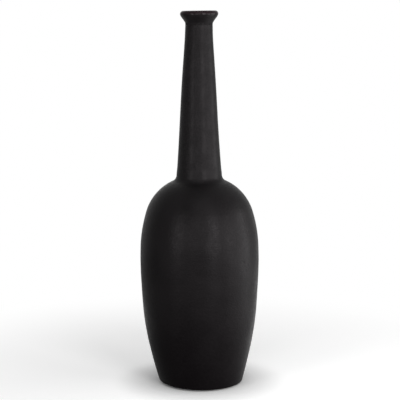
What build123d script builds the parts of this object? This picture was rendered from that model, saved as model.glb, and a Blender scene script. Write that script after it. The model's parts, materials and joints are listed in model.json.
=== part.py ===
from build123d import *
import os
from math import acos, asin, atan2, cos, degrees, hypot, radians, sin

os.makedirs("parts", exist_ok=True)

# Bottle vase in matte black stoneware, thrown in sections that are luted together.
# Lengths are in mm and angles in degrees. Z is the axis of the pot, and z = 0 is the
# plane that its felt pads stand on. In a section, x is the radius and y the height.

# Body: its side is four tangent arcs, named from the heel up to the neck
belly_radius = 79.5
belly_height = 166.4  # of the widest level above the foot
flank_arc_radius = 492.0
belly_arc_radius = 750.0
crown_arc_radius = 160.0
shoulder_arc_radius = 66.8
flank_angle = 4.1  # below the widest level, where the flank takes over from the belly
crown_angle = 1.6  # above the widest level, where the crown takes over from the belly
shoulder_angle = 18.5  # above the widest level, where the shoulder takes over
body_wall = 6.0

# Foot: a turned ring round a shallow recess
heel_radius = 5.5
floor_thickness = 9.0
floor_corner_radius = 14.0
foot_ring_width = 12.0
foot_recess_depth = 3.0
foot_edge_radius = 0.8

# Neck: a tapered tube
neck_root_radius = 30.3
neck_top_radius = 17.6
neck_length = 207.2  # from the shoulder up to the crease under the flare
neck_wall = 5.5
neck_cove_radius = 10.0

# Mouth: a flared lip that ends in a round bead
rim_radius = 25.1
rim_bead_radius = 4.0
mouth_height = 16.0  # from the crease up to the top of the bead
crease_radius = 3.0
throat_length = 12.0  # of the straight bore below the flare

# Joints: each section laps its neighbour by half a wall
seam_lap = 6.0
neck_spigot_length = 10.0
mouth_lap = 9.0

# Coils of clay worked over the joints
seam_coil_radius = 4.0
root_coil_radius = 7.0
root_coil_depth = 2.5  # of its bed in the corner between neck and shoulder

# Felt pads under the foot ring
pad_radius = 5.0
pad_thickness = 1.5
pad_count = 4
first_pad_angle = 45.0


def along(start, distance, angle):
    """The point at a distance from start, in the direction of an angle."""
    x, y = start
    return (x + distance * cos(radians(angle)), y + distance * sin(radians(angle)))


def arc(centre, radius, start_angle, end_angle):
    """An arc from one angle to another, both seen from its centre."""
    return CenterArc(centre, radius, start_angle, end_angle - start_angle)


# Levels, and the centres of the arcs of the body
foot_level = pad_thickness
belly_level = foot_level + belly_height
floor_level = foot_level + floor_thickness
recess_level = foot_level + foot_recess_depth
belly_centre = (belly_radius - belly_arc_radius, belly_level)
flank_centre = along(belly_centre, belly_arc_radius - flank_arc_radius, -flank_angle)
crown_centre = along(belly_centre, belly_arc_radius - crown_arc_radius, crown_angle)
shoulder_centre = along(crown_centre, crown_arc_radius - shoulder_arc_radius, shoulder_angle)


def shoulder_end_angle(inset, end_radius):
    """Where the shoulder, set in by a wall, reaches a radius."""
    return degrees(acos((end_radius - shoulder_centre[0]) / (shoulder_arc_radius - inset)))


def body_side(inset, bottom_level, end_radius):
    """The arcs of the body's side, set in by a wall, from a level up to a radius."""
    flank_start = -degrees(asin((flank_centre[1] - bottom_level) / (flank_arc_radius - inset)))
    shoulder_end = shoulder_end_angle(inset, end_radius)
    return [
        arc(flank_centre, flank_arc_radius - inset, flank_start, -flank_angle),
        arc(belly_centre, belly_arc_radius - inset, -flank_angle, crown_angle),
        arc(crown_centre, crown_arc_radius - inset, crown_angle, shoulder_angle),
        arc(shoulder_centre, shoulder_arc_radius - inset, shoulder_angle, shoulder_end),
    ]


# Outside and inside of the body, and the corners that the neck and the foot start from
neck_lap_radius = neck_root_radius - neck_wall / 2
outer_side = body_side(0, foot_level, neck_root_radius)
inner_side = body_side(body_wall, floor_level, neck_lap_radius)
heel_corner = (outer_side[0] @ 0).X, foot_level
floor_corner = (inner_side[0] @ 0).X, floor_level
root_corner = neck_root_radius, (outer_side[-1] @ 1).Y
opening_corner = neck_lap_radius, (inner_side[-1] @ 1).Y
foot_recess_radius = heel_corner[0] - heel_radius - foot_ring_width

# Neck and mouth
root_level = root_corner[1]
spigot_level = root_level - neck_spigot_length
spigot_bore_radius = neck_root_radius - neck_wall
crease_level = root_level + neck_length
crease_corner = neck_top_radius, crease_level
mouth_lap_radius = neck_top_radius - neck_wall / 2
throat_radius = neck_top_radius - neck_wall
throat_bottom = throat_radius, crease_level - mouth_lap
throat_top = throat_radius, crease_level - mouth_lap + throat_length
bead_centre = rim_radius - rim_bead_radius, crease_level + mouth_height - rim_bead_radius


def bead_touch_angle(point, side):
    """Where a line from a point below touches the bead, on its outer (1) or inner (-1) side."""
    x = point[0] - bead_centre[0]
    y = point[1] - bead_centre[1]
    return degrees(atan2(y, x)) % 360 + side * degrees(acos(rim_bead_radius / hypot(x, y)))


bead_start = bead_touch_angle(crease_corner, 1) - 360
bead_end = bead_touch_angle(throat_top, -1)
bead = arc(bead_centre, rim_bead_radius, bead_start, bead_end)


def rounded(section, corner, radius):
    """A section with one of its corners rounded."""
    return fillet(section.vertices().sort_by_distance((*corner, 0))[0], radius)


def pot_section():
    """Half of the whole pot, cut along its axis."""
    neck_outside = Polyline(root_corner, crease_corner, bead @ 0)
    neck_inside = Polyline(
        bead @ 1,
        throat_top,
        throat_bottom,
        (spigot_bore_radius, spigot_level),
        (neck_lap_radius, spigot_level),
        opening_corner,
    )
    floor = Polyline(
        floor_corner,
        (0, floor_level),
        (0, recess_level),
        (foot_recess_radius, recess_level),
        (foot_recess_radius, foot_level),
        heel_corner,
    )
    outline = Curve() + [*outer_side, *inner_side, bead, neck_outside, neck_inside, floor]
    section = make_face(outline.edges())
    section = rounded(section, heel_corner, heel_radius)
    section = rounded(section, floor_corner, floor_corner_radius)
    section = rounded(section, (foot_recess_radius, foot_level), foot_edge_radius)
    section = rounded(section, root_corner, neck_cove_radius)
    return rounded(section, crease_corner, crease_radius)


def below(level, lap_radius, lap):
    """All that lies below a joint, whose step inside lap_radius is higher by the lap."""
    reach = belly_radius + belly_arc_radius
    corners = [
        (0, 0),
        (reach, 0),
        (reach, level),
        (lap_radius, level),
        (lap_radius, level + lap),
        (0, level + lap),
    ]
    return make_face(Polyline(*corners, close=True).edges())


pot = pot_section()
below_seam = below(belly_level, belly_radius - body_wall / 2, seam_lap)
below_neck = below(root_level, neck_lap_radius, -neck_spigot_length)
below_mouth = below(crease_level, mouth_lap_radius, -mouth_lap)

# The bed of the root coil lies on the line that halves the corner of neck and shoulder
neck_lean = degrees(atan2(neck_length, neck_top_radius - neck_root_radius))
shoulder_lean = shoulder_end_angle(0, neck_root_radius) - 90
root_coil_centre = along(root_corner, root_coil_radius - root_coil_depth, (neck_lean + shoulder_lean) / 2)
root_coil_bed = Pos(*root_coil_centre) * Circle(root_coil_radius)

# The seam coil covers the line where the tongue of the lower section ends inside
seam_coil_round = Pos(belly_radius - body_wall, belly_level + seam_lap) * Circle(seam_coil_radius)


def turned(section):
    """The solid that a section makes when it is turned about the axis."""
    return revolve(Plane.XZ * section, Axis.Z)


def foot_pad(number):
    """A round felt pad in the middle of the foot ring."""
    angle = first_pad_angle + number * 360 / pad_count
    x, y = along((0, 0), foot_recess_radius + foot_ring_width / 2, angle)
    return Pos(x, y, 0) * Cylinder(pad_radius, pad_thickness, align=(Align.CENTER, Align.CENTER, Align.MIN))


pieces = {
    "lower_body": turned(pot & below_seam),
    "upper_body": turned((pot - below_seam) & below_neck - root_coil_bed),
    "belly_seam_coil": turned(seam_coil_round - pot),
    "neck": turned((pot - below_neck) & below_mouth - root_coil_bed),
    "neck_root_coil": turned(pot & root_coil_bed),
    "mouth_collar": turned(pot - below_mouth),
}
for number in range(pad_count):
    pieces[f"foot_pad_{number + 1}"] = foot_pad(number)

for name, solid in pieces.items():
    export_step(solid, f"parts/{name}.step")
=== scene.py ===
import json
from math import ceil, pi, radians

import bpy
import numpy as np
from mathutils import Matrix, Vector


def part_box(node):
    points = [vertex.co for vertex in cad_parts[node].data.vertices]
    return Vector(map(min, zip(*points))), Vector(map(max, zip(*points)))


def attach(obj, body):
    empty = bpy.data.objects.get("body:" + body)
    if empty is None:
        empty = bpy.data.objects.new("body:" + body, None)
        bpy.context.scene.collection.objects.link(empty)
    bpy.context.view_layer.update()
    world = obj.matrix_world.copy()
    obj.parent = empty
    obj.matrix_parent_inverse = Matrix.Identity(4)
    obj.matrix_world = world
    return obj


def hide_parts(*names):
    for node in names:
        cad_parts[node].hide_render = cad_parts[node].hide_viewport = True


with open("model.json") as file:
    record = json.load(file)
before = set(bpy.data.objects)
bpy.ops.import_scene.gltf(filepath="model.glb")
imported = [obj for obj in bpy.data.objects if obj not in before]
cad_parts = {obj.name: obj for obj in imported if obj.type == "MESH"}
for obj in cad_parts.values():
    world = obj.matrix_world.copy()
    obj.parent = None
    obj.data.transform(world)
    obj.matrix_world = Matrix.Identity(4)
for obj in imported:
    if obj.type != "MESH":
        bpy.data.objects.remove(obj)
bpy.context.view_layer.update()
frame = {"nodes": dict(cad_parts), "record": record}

# A bottle vase in matte black stoneware on a white sweep. Lengths are in metres and angles in degrees.
# Sizes of the pot come from the frame: Z is its axis, and the camera looks along +Y.

# Levels and radii of the pot
foot_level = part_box("lower_body")[0].z
belly_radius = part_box("lower_body")[1].x
root_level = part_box("neck_root_coil")[0].z
crease_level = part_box("neck")[1].z
rim_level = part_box("mouth_collar")[1].z
rim_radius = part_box("mouth_collar")[1].x

# Meshes: how close their points are
ring_step = 0.0011  # from ring to ring on the outside
inside_step = 0.0035  # from ring to ring on the inside
around_step = 0.0019  # from point to point of a ring
least_around = 160  # points of a ring, however small it is
outward_share = 0.1  # of a chord's length, that it climbs by where it is part of the outside
corner_turn = 20.0  # an outline that turns by more at a point has a corner there
sharp_turn = 40.0  # an edge of a mesh that turns by more looks sharp
section_digits = 6  # to which the points of a section are rounded
nearly_zero = 0.1 ** section_digits

# The thrower's hand: how far the pot is from truly round and straight
bow = 0.0011  # of the axis to the left, at half height
sway = 0.00025  # of the axis to the left, at a sixth and at five sixths of the height
sway_half_waves = 3  # up the pot
rim_rise = 0.0002  # of the rim on the right, and as much a fall on the left
heel_fall = 0.0009  # of the heel on the right, and as much a rise on the left
heel_height = 0.020  # at which that has faded out
ring_radius = 0.0505  # of the flat foot ring, which stays level
ring_blend = 0.005  # from the ring outwards, over which the heel begins to fall
local_swells = (  # a level, how far above it the crest is, how far it swells, reach up and down
    (foot_level, 0, 0.00100, 0.0025),
    (root_level, 0.012, 0.00040, 0.006),
    (crease_level, -0.002, 0.00042, 0.012),
    (crease_level, 0.0006, 0.00022, 0.0022),
    (crease_level, 0.0075, 0.00030, 0.0028),
)
body_swell = 0.0002  # long waves up the body, and others up the neck
body_swell_crest = 0.172
body_swell_length = 0.090
neck_swell = 0.0002
neck_swell_crest = 0.400
neck_swell_length = 0.140
swell_change = 0.030  # height over which one swell gives way to the other
throwing_ring_depth = 0.00001
throwing_ring_pitch = 0.0062
hand_seed = 11
wobble = 0.00004  # of the whole pot
wobble_waves = 8
wobble_around = (2, 6)  # waves round the pot
wobble_upward = (2, 9)  # waves up the pot
finger_depth = 0.00004  # of finger marks on the belly, and less where the pot is narrower
finger_waves = 40
finger_around = (4, 24)
finger_upward = (-30, 30)
even_radius = 0.012  # nearer to the axis, all this fades out

# A dent to the right of the middle of the body
dent_depth = 0.0004
dent_radius = 0.0028
dent_tall_share = 1.5  # of its width, that it is tall
dent_angle = -43.5  # from +X towards +Y
dent_level = 0.1724

# Glaze
noise_range = (0.35, 0.65)  # that most of a noise lies in
glaze_colours = ((0.0036, 0.0032, 0.0034, 1), (0.0056, 0.0050, 0.0053, 1))
glaze_roughness = (0.34, 0.455)
glaze_brushed = 0.5  # along the height, by the fine lines that the thrower's fingers left
glaze_brushed_turn = 0.25  # of a full turn
glaze_specular = 0.075
glaze_specular_tint = (1.0, 0.94, 0.97, 1)
neck_glaze_colours = ((0.0037, 0.0033, 0.0035, 1), (0.0087, 0.0079, 0.0083, 1))  # in freckles
neck_glaze_change = 0.020  # height over which the neck's glaze begins, from the root up
neck_roughness_rise = 0.05  # over the body's
neck_patch_change = 0.05  # of the roughness, up and down
painted_shade_level = 0.02  # painted shade: darkest up to this height, fading out up to the next one
painted_shade_end_level = 0.26
painted_shade_share = 0.35  # of the glaze's colour, that shows where the painted shade is darkest
painted_shade_colour = (0.0012, 0.0005, 0.0009, 1)
cloud_size = 0.035  # of the lighter and darker parts of the glaze
patch_size = 0.012  # of the rougher and smoother parts
patch_change = 0.018  # of the roughness, up and down
stipple_size = 0.0027
stipple_detail = 0.0
stipple_wide_share = 1.8  # of the height of its grains, that they are wide
stipple_depth = 0.000125
wave_texture_turn = 20.0  # of the wave texture, in radians for each unit
line_pitch = 0.0033
line_waver = 2.0
line_depth = 0.000003
rim_brown = (0.0145, 0.0085, 0.0102, 1)
rim_roughness = 0.18
rim_worn_top = 0.002  # below the top of the rim, where it is worn most
rim_worn_end = 0.0055
rim_gloss_top = 0.004  # below the top of the rim, down to where it is polished most
rim_gloss_end = 0.0075
rim_worn_least_share = 0.9  # of its brown, between the grains
rim_sand_share = 0.02  # of the stipple's depth, that is left where the rim is polished
crease_dull_depth = 0.0022  # below the crease, from which up to the crease the glaze is dull
crease_dull_blend = 0.0010  # height over which that begins and ends
crease_roughness = 0.7
glaze_edge = 0.0003  # height above the foot, up to which the foot ring is wiped bare
glaze_edge_waver = 0.0005

# Bare clay
clay_colours = ((0.090, 0.068, 0.055, 1), (0.130, 0.100, 0.083, 1))
clay_roughness = (0.80, 0.95)
grog_size = 0.0009
grog_detail = 3.0
grog_depth = 0.0001

# Felt
felt_colours = ((0.030, 0.029, 0.028, 1), (0.065, 0.062, 0.060, 1))
felt_roughness = (0.85, 1.0)
felt_sheen = 0.3
fibre_size = 0.0006
fibre_detail = 5.0
fibre_depth = 0.0003
pad_edge_radius = 0.0004
pad_fuzz = 0.00006
pad_rings = 14
pad_segments = 72

# Camera, as in the photograph
camera_distance = 1.717
camera_height = 0.508
aim_height = 0.24886
camera_roll = -0.27
sensor_width = 36.0
focal_share = 3.2400  # of the picture's width

# Floor and world
white = (1, 1, 1, 1)
white_strength = 1.0  # at which a thing that glows is white
floor_radius = 3.0
floor_corners = 128
floor_fade_start = 0.15  # distances from the axis, between which the floor turns white
floor_fade_end = 0.55
floor_colour = (0.88, 0.88, 0.88, 1)
floor_bounce_colour = (0.20, 0.20, 0.20, 1)  # for the light that it scatters onto the pot
floor_shade_colour = (0.4, 0.4, 0.4, 1)  # close to the foot
floor_shade_reach = 0.06
floor_shade_power = 1.3
floor_lift = 0.5  # glow that brings the lit floor up to nearly white
world_light = 0.0  # that the world casts on things
ceiling_grey = 0.68
ceiling_rise = 0.7  # of a direction, from which up the ceiling is that grey

# Lamps, with their azimuth from the camera's side to the right
softboxes = {  # azimuth, distance from the axis, height, width, tallness, watts
    "left_front": (-42, 1.7, 0.50, 0.5, 0.6, 9.5),
    "front_strip": (-7, 2.0, 0.60, 1.1, 0.5, 12),
    "right_front": (28, 1.7, 0.50, 0.6, 0.8, 18.2),
    "right_middle": (58, 1.7, 0.40, 0.6, 0.6, 11),
    "right_side": (90, 1.5, 0.42, 0.9, 0.7, 9.3),
    "right_strip": (80, 0.75, 0.07, 0.8, 0.2, 1.9),
    "right_card": (86, 0.40, 0.03, 0.30, 0.10, 0.13),
    "top_front": (8, 1.0, 1.6, 1.2, 0.9, 4.5),
}

# Grey screens behind the pot, and a grey mat under it: glowing cards that show only in its gloss, as
# painted reflections
screens = {  # azimuth, distance, width, tallness, grey at the floor, grey from the pale level up
    "left_screen": (-120, 0.40, 0.70, 0.60, 0.2, 0.6),
    "right_screen": (150, 0.60, 0.60, 0.80, 0.6, 0.6),
}
screen_pale_level = 0.25
mat_radius = 0.45
mat_lift = 0.0005  # off the floor
mat_greys = (0.25, 0.95)  # on the left and on the right of the pot
mat_blend = 0.12  # to each side of the axis, over which one gives way to the other
mat_shade_share = 0.48  # of the mat's grey, that it has close to the foot, as painted shade in the reflection
mat_shade = (0.06, 0.17)  # distances from the axis, between which that shade ends
mat_fade_start = 0.2  # distance from the axis, from which the mat gets whiter


def cad_outline(node):
    """The edge of a turned node's half section, as points (radius, height) with the clay on the left."""
    mesh = frame["nodes"][node].data
    section = {}
    for vertex in mesh.vertices:
        if abs(vertex.co.y) < nearly_zero and vertex.co.x > -nearly_zero:
            section[vertex.index] = (round(vertex.co.x, section_digits), round(vertex.co.z, section_digits))
    neighbours = {}
    for edge in mesh.edges:
        start, end = (section.get(index) for index in edge.vertices)
        if start and end and start != end:
            neighbours.setdefault(start, set()).add(end)
            neighbours.setdefault(end, set()).add(start)
    for radius, height in [point for point, near in neighbours.items() if len(near) == 1]:
        # A flat round face runs on to the axis
        neighbours[radius, height].add((0.0, height))
        neighbours[0.0, height] = {(radius, height)}
    chain = [min(neighbours)]
    while onward := sorted(neighbours[chain[-1]] - set(chain)):
        chain.append(onward[0])
    points = np.array(chain)
    ahead = np.roll(points, -1, axis=0)
    turned_left = np.sum(points[:, 0] * ahead[:, 1] - ahead[:, 0] * points[:, 1]) > 0
    return points if turned_left else points[::-1]


def heading(angle):
    """A step of length 1 in a direction."""
    return np.array([np.cos(angle), np.sin(angle)])


def curved(points):
    """A closed outline with more points, on arcs that keep its corners and its straight runs."""
    chords = np.roll(points, -1, axis=0) - points
    lengths = np.hypot(chords[:, 0], chords[:, 1])
    headings = np.arctan2(chords[:, 1], chords[:, 0])
    turns = (headings - np.roll(headings, 1) + pi) % (2 * pi) - pi
    corner = np.abs(turns) > radians(corner_turn)
    next_corner = np.roll(corner, -1)
    # Each point's turn is shared between its two chords as the turns beside it are
    bends = np.abs(turns)
    before = np.where(np.roll(corner, 1), bends, np.roll(bends, 1))
    after = np.where(next_corner, bends, np.roll(bends, -1))
    share = np.divide(before, before + after, out=np.zeros_like(before), where=before + after > 0)
    leaving = (1 - share) * turns
    arriving = np.roll(share * turns, -1)
    straight = corner & next_corner
    start_bend = np.where(straight, 0, np.where(corner, arriving, leaving))
    end_bend = np.where(straight, 0, np.where(next_corner, leaving, arriving))
    pieces = []
    for i, (start, chord, length) in enumerate(zip(points, chords, lengths)):
        faces_out = chord[1] > length * outward_share
        count = ceil(length / (ring_step if faces_out else inside_step))
        t = (np.arange(count) / count)[:, None]
        start_way = length * heading(headings[i] - start_bend[i])
        end_way = length * heading(headings[i] + end_bend[i])
        pieces.append(
            start
            + chord * t ** 2 * (3 - 2 * t)
            + start_way * t * (1 - t) ** 2
            - end_way * t ** 2 * (1 - t)
        )
    return np.concatenate(pieces)


def gently(value, low, high):
    """Rises from 0 at low to 1 at high, with no kinks."""
    t = np.clip((value - low) / (high - low), 0, 1)
    return t ** 2 * (3 - 2 * t)


def lumps(chance, angle, height, depth, count, around, upward):
    """Low lumps at random: crossing waves that run round and up the pot."""
    push = np.zeros_like(angle)
    for _ in range(count):
        turns = chance.integers(*around)
        climbs = chance.uniform(*upward)
        phase = chance.uniform(0, 2 * pi)
        push += np.sin(turns * angle + climbs * 2 * pi * height / rim_level + phase)
    return push * depth / count ** 0.5


def hand_made(radius, angle, height):
    """Where points of the true turned pot lie on the hand-thrown one."""
    chance = np.random.default_rng(hand_seed)
    on_neck = gently(height, root_level - swell_change, root_level + swell_change)
    body_wave = body_swell * np.cos(2 * pi * (height - body_swell_crest) / body_swell_length)
    neck_wave = neck_swell * np.cos(2 * pi * (height - neck_swell_crest) / neck_swell_length)
    push = body_wave * (1 - on_neck) + neck_wave * on_neck
    for level, above_level, swell, reach in local_swells:
        crest = level + above_level
        push += swell * np.exp(-((height - crest) / reach) ** 2)
    push += throwing_ring_depth * np.sin(2 * pi * height / throwing_ring_pitch + angle)
    push += lumps(chance, angle, height, wobble, wobble_waves, wobble_around, wobble_upward)
    fingers = lumps(chance, angle, height, finger_depth, finger_waves, finger_around, finger_upward)
    push += fingers * radius / belly_radius
    aside = belly_radius * (angle - radians(dent_angle)) / dent_radius
    above = (height - dent_level) / dent_radius / dent_tall_share
    on_skin = gently(radius, belly_radius - 2 * dent_radius, belly_radius - dent_radius)
    push -= on_skin * dent_depth * np.exp(-(aside ** 2) - above ** 2)
    radius = radius + push * gently(radius, 0, even_radius)
    up_the_axis = pi * height / rim_level
    lean = bow * np.sin(up_the_axis) + sway * np.sin(sway_half_waves * up_the_axis)
    rise = rim_rise * gently(height, crease_level, rim_level) * radius / rim_radius
    off_ring = gently(radius, ring_radius, ring_radius + ring_blend)
    fall = heel_fall * gently(height, heel_height, 0) * off_ring
    height = height + (rise - fall) * np.cos(angle)
    return radius * np.cos(angle) - lean, radius * np.sin(angle), height


def turned_mesh(name, outline, segments, place):
    """A closed mesh: an outline turned about the axis, with each point put where place says."""
    angles = np.arange(segments) * 2 * pi / segments - pi
    radius, angle = np.meshgrid(outline[:, 0], angles, indexing="ij")
    height = np.repeat(outline[:, 1:], segments, axis=1)
    points = np.stack(place(radius, angle, height), axis=-1).reshape(-1, 3)
    ring = np.arange(len(outline))[:, None] * segments
    next_ring = np.roll(ring, -1, axis=0)
    step = np.arange(segments)
    next_step = np.roll(step, -1)
    quads = np.stack([ring + step, ring + next_step, next_ring + next_step, next_ring + step], axis=-1)
    # Each ring on the axis becomes one point, so its quads become triangles or go
    first = np.arange(len(points))
    for index in np.flatnonzero(outline[:, 0] < nearly_zero):
        first[index * segments:(index + 1) * segments] = index * segments
    faces = [list(dict.fromkeys(face)) for face in first[quads.reshape(-1, 4)].tolist()]
    faces = [face for face in faces if len(face) > 2]
    used = np.unique(np.concatenate(faces))
    new_index = np.zeros(len(points), int)
    new_index[used] = np.arange(len(used))
    mesh = bpy.data.meshes.new(name)
    mesh.from_pydata(points[used].tolist(), [], [new_index[face].tolist() for face in faces])
    mesh.shade_smooth()
    mesh.set_sharp_from_angle(angle=radians(sharp_turn))
    return mesh


def add_piece(name, node, mesh, material):
    """A piece of the pot that stands for a CAD node."""
    mesh.materials.append(material)
    piece = bpy.data.objects.new(name, mesh)
    bpy.context.scene.collection.objects.link(piece)
    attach(piece, "root")
    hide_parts(node)


def add_thrown_piece(node, material):
    """A turned node as the thrower left it."""
    outline = curved(cad_outline(node))
    segments = max(ceil(2 * pi * outline[:, 0].max() / around_step), least_around)
    mesh = turned_mesh(node, outline, segments, hand_made)
    add_piece(node + "_thrown", node, mesh, material)


def add_felt_pad(node, material):
    """A pressed felt disc with a soft edge and a rough face."""
    low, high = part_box(node)
    centre = (low + high) / 2
    pad_radius = (high.x - low.x) / 2
    chance = np.random.default_rng(hand_seed)
    bend = np.linspace(-pi / 2, pi / 2, pad_rings)
    edge = np.stack([
        pad_radius - pad_edge_radius * (1 - np.cos(bend)),
        centre.z + (high.z - low.z) / 2 * np.sin(bend),
    ], axis=1)
    flat = np.linspace(0, pad_radius - pad_edge_radius, pad_rings, endpoint=False)
    bottom = np.stack([flat, np.full(pad_rings, low.z)], axis=1)
    top = np.stack([flat[::-1], np.full(pad_rings, high.z)], axis=1)
    outline = np.concatenate([bottom, edge, top])

    def fuzzy(radius, angle, height):
        radius = radius - pad_fuzz * chance.random(radius.shape) * gently(radius, 0, pad_radius)
        return centre.x + radius * np.cos(angle), centre.y + radius * np.sin(angle), height

    mesh = turned_mesh(node, outline, pad_segments, fuzzy)
    add_piece(node + "_felt", node, mesh, material)


# Materials


def new_material(name):
    """A material and its node tree, which is empty."""
    material = bpy.data.materials.new(name)
    material.use_nodes = True
    material.node_tree.nodes.clear()
    return material, material.node_tree


def add(tree, kind, inputs=None, **settings):
    """A node with its settings and inputs, where an input is a value or another node's output."""
    node = tree.nodes.new(kind)
    for name, value in settings.items():
        setattr(node, name, value)
    for name, value in (inputs or {}).items():
        if isinstance(value, bpy.types.NodeSocket):
            tree.links.new(value, node.inputs[name])
        else:
            node.inputs[name].default_value = value
    return node


def scaled(tree, value, from_range, to_range):
    """A number taken from one range to another, and kept inside it."""
    return add(tree, "ShaderNodeMapRange", {
        "Value": value,
        "From Min": from_range[0],
        "From Max": from_range[1],
        "To Min": to_range[0],
        "To Max": to_range[1],
    }).outputs["Result"]


def noise(tree, place, size, detail=0.0):
    """Soft noise with lumps of a size, and finer lumps on them for each level of detail."""
    node = add(tree, "ShaderNodeTexNoise", {"Vector": place, "Scale": 1 / size, "Detail": detail})
    return node.outputs["Fac"]


def mixed(tree, share, first, second):
    """A colour between two others."""
    node = add(tree, "ShaderNodeMixRGB", {"Fac": share, "Color1": first, "Color2": second})
    return node.outputs["Color"]


def blended(tree, share, first, second):
    """A number between two others."""
    return add(tree, "ShaderNodeMix", {"Factor": share, "A": first, "B": second}).outputs["Result"]


def calculated(tree, operation, first, second):
    """A number worked out from two others."""
    node = add(tree, "ShaderNodeMath", operation=operation)
    for socket, value in zip(node.inputs, (first, second)):
        if isinstance(value, bpy.types.NodeSocket):
            tree.links.new(value, socket)
        else:
            socket.default_value = value
    return node.outputs["Value"]


def bumped(tree, relief, depth, under=None):
    """A normal for relief of a depth, over another normal if there is one."""
    node = add(tree, "ShaderNodeBump", {"Height": relief, "Distance": depth})
    if under:
        tree.links.new(under, node.inputs["Normal"])
    return node.outputs["Normal"]


def throwing_lines(tree, place):
    """Fine wavering lines round the pot."""
    node = add(tree, "ShaderNodeTexWave", {
        "Vector": place,
        "Scale": 2 * pi / wave_texture_turn / line_pitch,
        "Distortion": line_waver,
        "Detail": 0.0,
    }, bands_direction="Z")
    return node.outputs["Fac"]


def below_lip_share(tree, height):
    """1 up to the crease, and 0 on the lip."""
    return scaled(tree, height, (crease_level, crease_level + crease_dull_blend), (1, 0))


def neck_share(tree, height):
    """1 on the neck, and 0 on the body and the lip."""
    above_root = scaled(tree, height, (root_level, root_level + neck_glaze_change), (0, 1))
    return calculated(tree, "MULTIPLY", above_root, below_lip_share(tree, height))


def glaze_colour(tree, height, clouds, stipple):
    """Black that is cloudy on the body, with painted shade darkening it towards the foot, freckled on the
    neck and worn to brown on the rim.
    """
    # painted shade: the glaze is mixed towards a darker colour down towards the foot
    unshaded_share = scaled(tree, height, (painted_shade_level, painted_shade_end_level), (painted_shade_share, 1))
    black = mixed(tree, unshaded_share, painted_shade_colour, mixed(tree, clouds, *glaze_colours))
    freckled = mixed(tree, scaled(tree, stipple, noise_range, (0, 1)), *neck_glaze_colours)
    unworn = mixed(tree, neck_share(tree, height), black, freckled)
    crest = scaled(tree, height, (rim_level - rim_worn_end, rim_level - rim_worn_top), (0, 1))
    grains = scaled(tree, stipple, noise_range, (rim_worn_least_share, 1))
    return mixed(tree, calculated(tree, "MULTIPLY", crest, grains), unworn, rim_brown)


def glaze_dullness(tree, place, height, stipple, polished):
    """Roughness that is sandy and patchy, more so on the neck, with a dull crease and a polished rim."""
    patch = noise(tree, place, patch_size)
    patches = scaled(tree, patch, noise_range, (-patch_change, patch_change))
    neck_range = (neck_roughness_rise - neck_patch_change, neck_roughness_rise + neck_patch_change)
    neck_patches = scaled(tree, patch, noise_range, neck_range)
    rougher = blended(tree, neck_share(tree, height), patches, neck_patches)
    sandy = calculated(tree, "ADD", scaled(tree, stipple, noise_range, glaze_roughness), rougher)
    dull_level = crease_level - crease_dull_depth
    near_crease = scaled(tree, height, (dull_level - crease_dull_blend, dull_level), (0, 1))
    in_crease = calculated(tree, "MULTIPLY", near_crease, below_lip_share(tree, height))
    under_rim = blended(tree, in_crease, sandy, crease_roughness)
    return blended(tree, polished, under_rim, rim_roughness)


def glaze_relief(tree, place, stipple, grog, polished):
    """A normal for sand, throwing lines and grog. Little sand and grog are left on the polished rim."""
    rough_share = scaled(tree, polished, (0, 1), (1, rim_sand_share))
    sand = calculated(tree, "MULTIPLY", stipple, rough_share)
    grit = calculated(tree, "MULTIPLY", grog, rough_share)
    sanded = bumped(tree, sand, stipple_depth)
    lined = bumped(tree, throwing_lines(tree, place), line_depth, sanded)
    return bumped(tree, grit, grog_depth, lined)


def glaze_material():
    """Matte black glaze with a sandy stipple, worn and brown on the rim, wiped off the foot ring."""
    material, tree = new_material("black_glaze")
    place = add(tree, "ShaderNodeTexCoord").outputs["Object"]
    height = add(tree, "ShaderNodeSeparateXYZ", {"Vector": place}).outputs["Z"]
    clouds = scaled(tree, noise(tree, place, cloud_size), noise_range, (0, 1))
    squashed = add(tree, "ShaderNodeMapping", {"Vector": place, "Scale": (1, 1, stipple_wide_share)})
    stipple = noise(tree, squashed.outputs["Vector"], stipple_size, stipple_detail)
    grog = noise(tree, place, grog_size, grog_detail)
    polished = scaled(tree, height, (rim_level - rim_gloss_end, rim_level - rim_gloss_top), (0, 1))
    colour = glaze_colour(tree, height, clouds, stipple)
    dullness = glaze_dullness(tree, place, height, stipple, polished)
    edge_level = foot_level + glaze_edge
    wavering = calculated(tree, "ADD", height, scaled(tree, clouds, (0, 1), (0, glaze_edge_waver)))
    bare = scaled(tree, wavering, (edge_level + glaze_edge_waver, edge_level), (0, 1))
    clay_colour = mixed(tree, scaled(tree, grog, noise_range, (0, 1)), *clay_colours)
    shader = add(tree, "ShaderNodeBsdfPrincipled", {
        "Base Color": mixed(tree, bare, colour, clay_colour),
        "Roughness": blended(tree, bare, dullness, clay_roughness[0]),
        "Specular IOR Level": glaze_specular,
        "Specular Tint": glaze_specular_tint,
        "Anisotropic": glaze_brushed,
        "Anisotropic Rotation": glaze_brushed_turn,
        "Normal": glaze_relief(tree, place, stipple, grog, polished),
    })
    add(tree, "ShaderNodeOutputMaterial", {"Surface": shader.outputs["BSDF"]})
    return material


def grainy_material(name, size, detail, colours, roughness, depth, sheen):
    """A matte material whose colour, roughness and relief follow one grain."""
    material, tree = new_material(name)
    place = add(tree, "ShaderNodeTexCoord").outputs["Object"]
    grain = noise(tree, place, size, detail)
    shader = add(tree, "ShaderNodeBsdfPrincipled", {
        "Base Color": mixed(tree, scaled(tree, grain, noise_range, (0, 1)), *colours),
        "Roughness": scaled(tree, grain, noise_range, roughness),
        "Sheen Weight": sheen,
        "Normal": bumped(tree, grain, depth),
    })
    add(tree, "ShaderNodeOutputMaterial", {"Surface": shader.outputs["BSDF"]})
    return material


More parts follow.
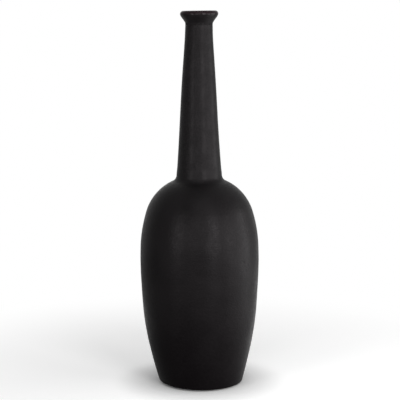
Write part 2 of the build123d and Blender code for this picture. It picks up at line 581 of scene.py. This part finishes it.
glaze = glaze_material()
clay = grainy_material("bare_clay", grog_size, grog_detail, clay_colours, clay_roughness, grog_depth, 0)
felt = grainy_material(
    "felt", fibre_size, fibre_detail, felt_colours, felt_roughness, fibre_depth, felt_sheen
)
for subpart in frame["record"]["subparts"]:
    node, slot = subpart["node"], subpart["material_slot"]
    if slot == "felt":
        add_felt_pad(node, felt)
    else:
        add_thrown_piece(node, clay if slot == "bare_clay" else glaze)


# Floor, world and lamps


def seen_directly(tree):
    """1 for what is seen straight, in a mirror or through glass, and 0 for light that is scattered."""
    path = add(tree, "ShaderNodeLightPath")
    in_gloss = path.outputs["Is Glossy Ray"]
    through_glass = path.outputs["Is Transmission Ray"]
    indirectly = calculated(tree, "MAXIMUM", in_gloss, through_glass)
    return calculated(tree, "MAXIMUM", path.outputs["Is Camera Ray"], indirectly)


def floor_material():
    """A pale sweep that is plain near the pot, with its shadows, and fades to white further out."""
    material, tree = new_material("floor")
    place = add(tree, "ShaderNodeTexCoord").outputs["Object"]
    distance = add(tree, "ShaderNodeVectorMath", {"Vector": place}, operation="LENGTH").outputs["Value"]
    fade = add(tree, "ShaderNodeMapRange", {
        "Value": distance,
        "From Min": floor_fade_start,
        "From Max": floor_fade_end,
    }, interpolation_type="SMOOTHSTEP").outputs["Result"]
    seen = seen_directly(tree)
    open_sky = add(tree, "ShaderNodeAmbientOcclusion", {"Distance": floor_shade_reach}).outputs["AO"]
    light_share = calculated(tree, "POWER", open_sky, floor_shade_power)
    shaded = mixed(tree, light_share, floor_shade_colour, floor_colour)
    colour = mixed(tree, seen, floor_bounce_colour, shaded)
    lift = calculated(tree, "MULTIPLY", scaled(tree, light_share, (0, 1), (0, floor_lift)), seen)
    lit = add(tree, "ShaderNodeBsdfDiffuse", {"Color": colour})
    lifted = add(tree, "ShaderNodeEmission", {"Color": white, "Strength": lift})
    near = add(tree, "ShaderNodeAddShader")
    tree.links.new(lit.outputs["BSDF"], near.inputs[0])
    tree.links.new(lifted.outputs["Emission"], near.inputs[1])
    far = add(tree, "ShaderNodeEmission", {"Color": white, "Strength": white_strength})
    surface = add(tree, "ShaderNodeMixShader", {"Fac": calculated(tree, "MULTIPLY", fade, seen)})
    tree.links.new(near.outputs["Shader"], surface.inputs[1])
    tree.links.new(far.outputs["Emission"], surface.inputs[2])
    add(tree, "ShaderNodeOutputMaterial", {"Surface": surface.outputs["Shader"]})
    return material


def round_points(radius, height):
    """Points all round the axis."""
    angles = np.arange(floor_corners) * 2 * pi / floor_corners
    return [(radius * np.cos(angle), radius * np.sin(angle), height) for angle in angles]


def add_floor():
    """A round floor that the pot stands on."""
    mesh = bpy.data.meshes.new("floor")
    mesh.from_pydata(round_points(floor_radius, 0), [], [range(floor_corners)])
    mesh.materials.append(floor_material())
    floor = bpy.data.objects.new("floor", mesh)
    bpy.context.scene.collection.objects.link(floor)


def add_world():
    """White walls and a greyer ceiling, which are seen and reflected but cast no light."""
    world = bpy.data.worlds.new("studio")
    bpy.context.scene.world = world
    world.use_nodes = True
    tree = world.node_tree
    background = tree.nodes["Background"]
    background.inputs["Color"].default_value = white
    direction = add(tree, "ShaderNodeTexCoord").outputs["Generated"]
    rise = add(tree, "ShaderNodeSeparateXYZ", {"Vector": direction}).outputs["Z"]
    white_share = scaled(tree, rise, (0, ceiling_rise), (1, ceiling_grey))
    strength = blended(tree, seen_directly(tree), world_light, white_share)
    tree.links.new(strength, background.inputs["Strength"])


def add_softbox(name, azimuth, distance, height, width, tall, watts):
    """A rectangular lamp that faces the pot; azimuth is from the camera's side, to the right."""
    turn = radians(azimuth)
    place = Vector((distance * np.sin(turn), -distance * np.cos(turn), height))
    lamp = bpy.data.lights.new(name, "AREA")
    lamp.shape = "RECTANGLE"
    lamp.size = width
    lamp.size_y = tall
    lamp.energy = watts
    box = bpy.data.objects.new(name, lamp)
    box.location = place
    box.rotation_euler = (Vector((0, 0, rim_level / 2)) - place).to_track_quat("-Z", "Y").to_euler()
    box.visible_camera = False
    bpy.context.scene.collection.objects.link(box)


def add_reflected(name, points, face, grey_of):
    """A glowing card that paints a reflection in the pot's gloss, and is neither seen itself nor in the way
    of light.
    """
    material, tree = new_material(name)
    place = add(tree, "ShaderNodeTexCoord").outputs["Object"]
    strength = calculated(tree, "MULTIPLY", grey_of(tree, place), seen_directly(tree))
    glow = add(tree, "ShaderNodeEmission", {"Color": white, "Strength": strength})
    add(tree, "ShaderNodeOutputMaterial", {"Surface": glow.outputs["Emission"]})
    mesh = bpy.data.meshes.new(name)
    mesh.from_pydata(points, [], [face])
    mesh.materials.append(material)
    card = bpy.data.objects.new(name, mesh)
    card.visible_camera = False
    card.visible_shadow = False
    bpy.context.scene.collection.objects.link(card)
    return card


def add_screen(name, azimuth, distance, width, tall, low_grey, high_grey):
    """An upright card that gets paler from the floor up."""

    def grey_of(tree, place):
        height = add(tree, "ShaderNodeSeparateXYZ", {"Vector": place}).outputs["Z"]
        return scaled(tree, height, (0, screen_pale_level), (low_grey, high_grey))

    side = width / 2
    points = [(-side, 0, 0), (side, 0, 0), (side, 0, tall), (-side, 0, tall)]
    screen = add_reflected(name, points, range(len(points)), grey_of)
    turn = radians(azimuth)
    screen.location = (distance * np.sin(turn), -distance * np.cos(turn), 0)
    screen.rotation_euler.z = turn


def add_mat():
    """A round card on the floor, darker on the left and close to the foot."""

    def grey_of(tree, place):
        distance = add(tree, "ShaderNodeVectorMath", {"Vector": place}, operation="LENGTH").outputs["Value"]
        aside = add(tree, "ShaderNodeSeparateXYZ", {"Vector": place}).outputs["X"]
        side_grey = scaled(tree, aside, (-mat_blend, mat_blend), mat_greys)
        light = scaled(tree, distance, mat_shade, (mat_shade_share, 1))
        fade = scaled(tree, distance, (mat_fade_start, mat_radius), (0, 1))
        return blended(tree, fade, calculated(tree, "MULTIPLY", side_grey, light), white_strength)

    add_reflected("mat", round_points(mat_radius, mat_lift), range(floor_corners), grey_of)


def add_camera():
    """The camera in front of the pot, a little above its rim, aimed at its middle."""
    data = bpy.data.cameras.new("camera")
    data.sensor_width = sensor_width
    data.lens = sensor_width * focal_share
    camera = bpy.data.objects.new("camera", data)
    camera.location = (0, -camera_distance, camera_height)
    look = Vector((0, camera_distance, aim_height - camera_height)).to_track_quat("-Z", "Y")
    camera.rotation_euler = (look.to_matrix() @ Matrix.Rotation(radians(camera_roll), 3, "Z")).to_euler()
    bpy.context.scene.collection.objects.link(camera)
    bpy.context.scene.camera = camera


add_floor()
for name, screen in screens.items():
    add_screen(name, *screen)
add_mat()
add_world()
for name, softbox in softboxes.items():
    add_softbox(name, *softbox)
add_camera()
bpy.context.scene.view_settings.view_transform = "Standard"
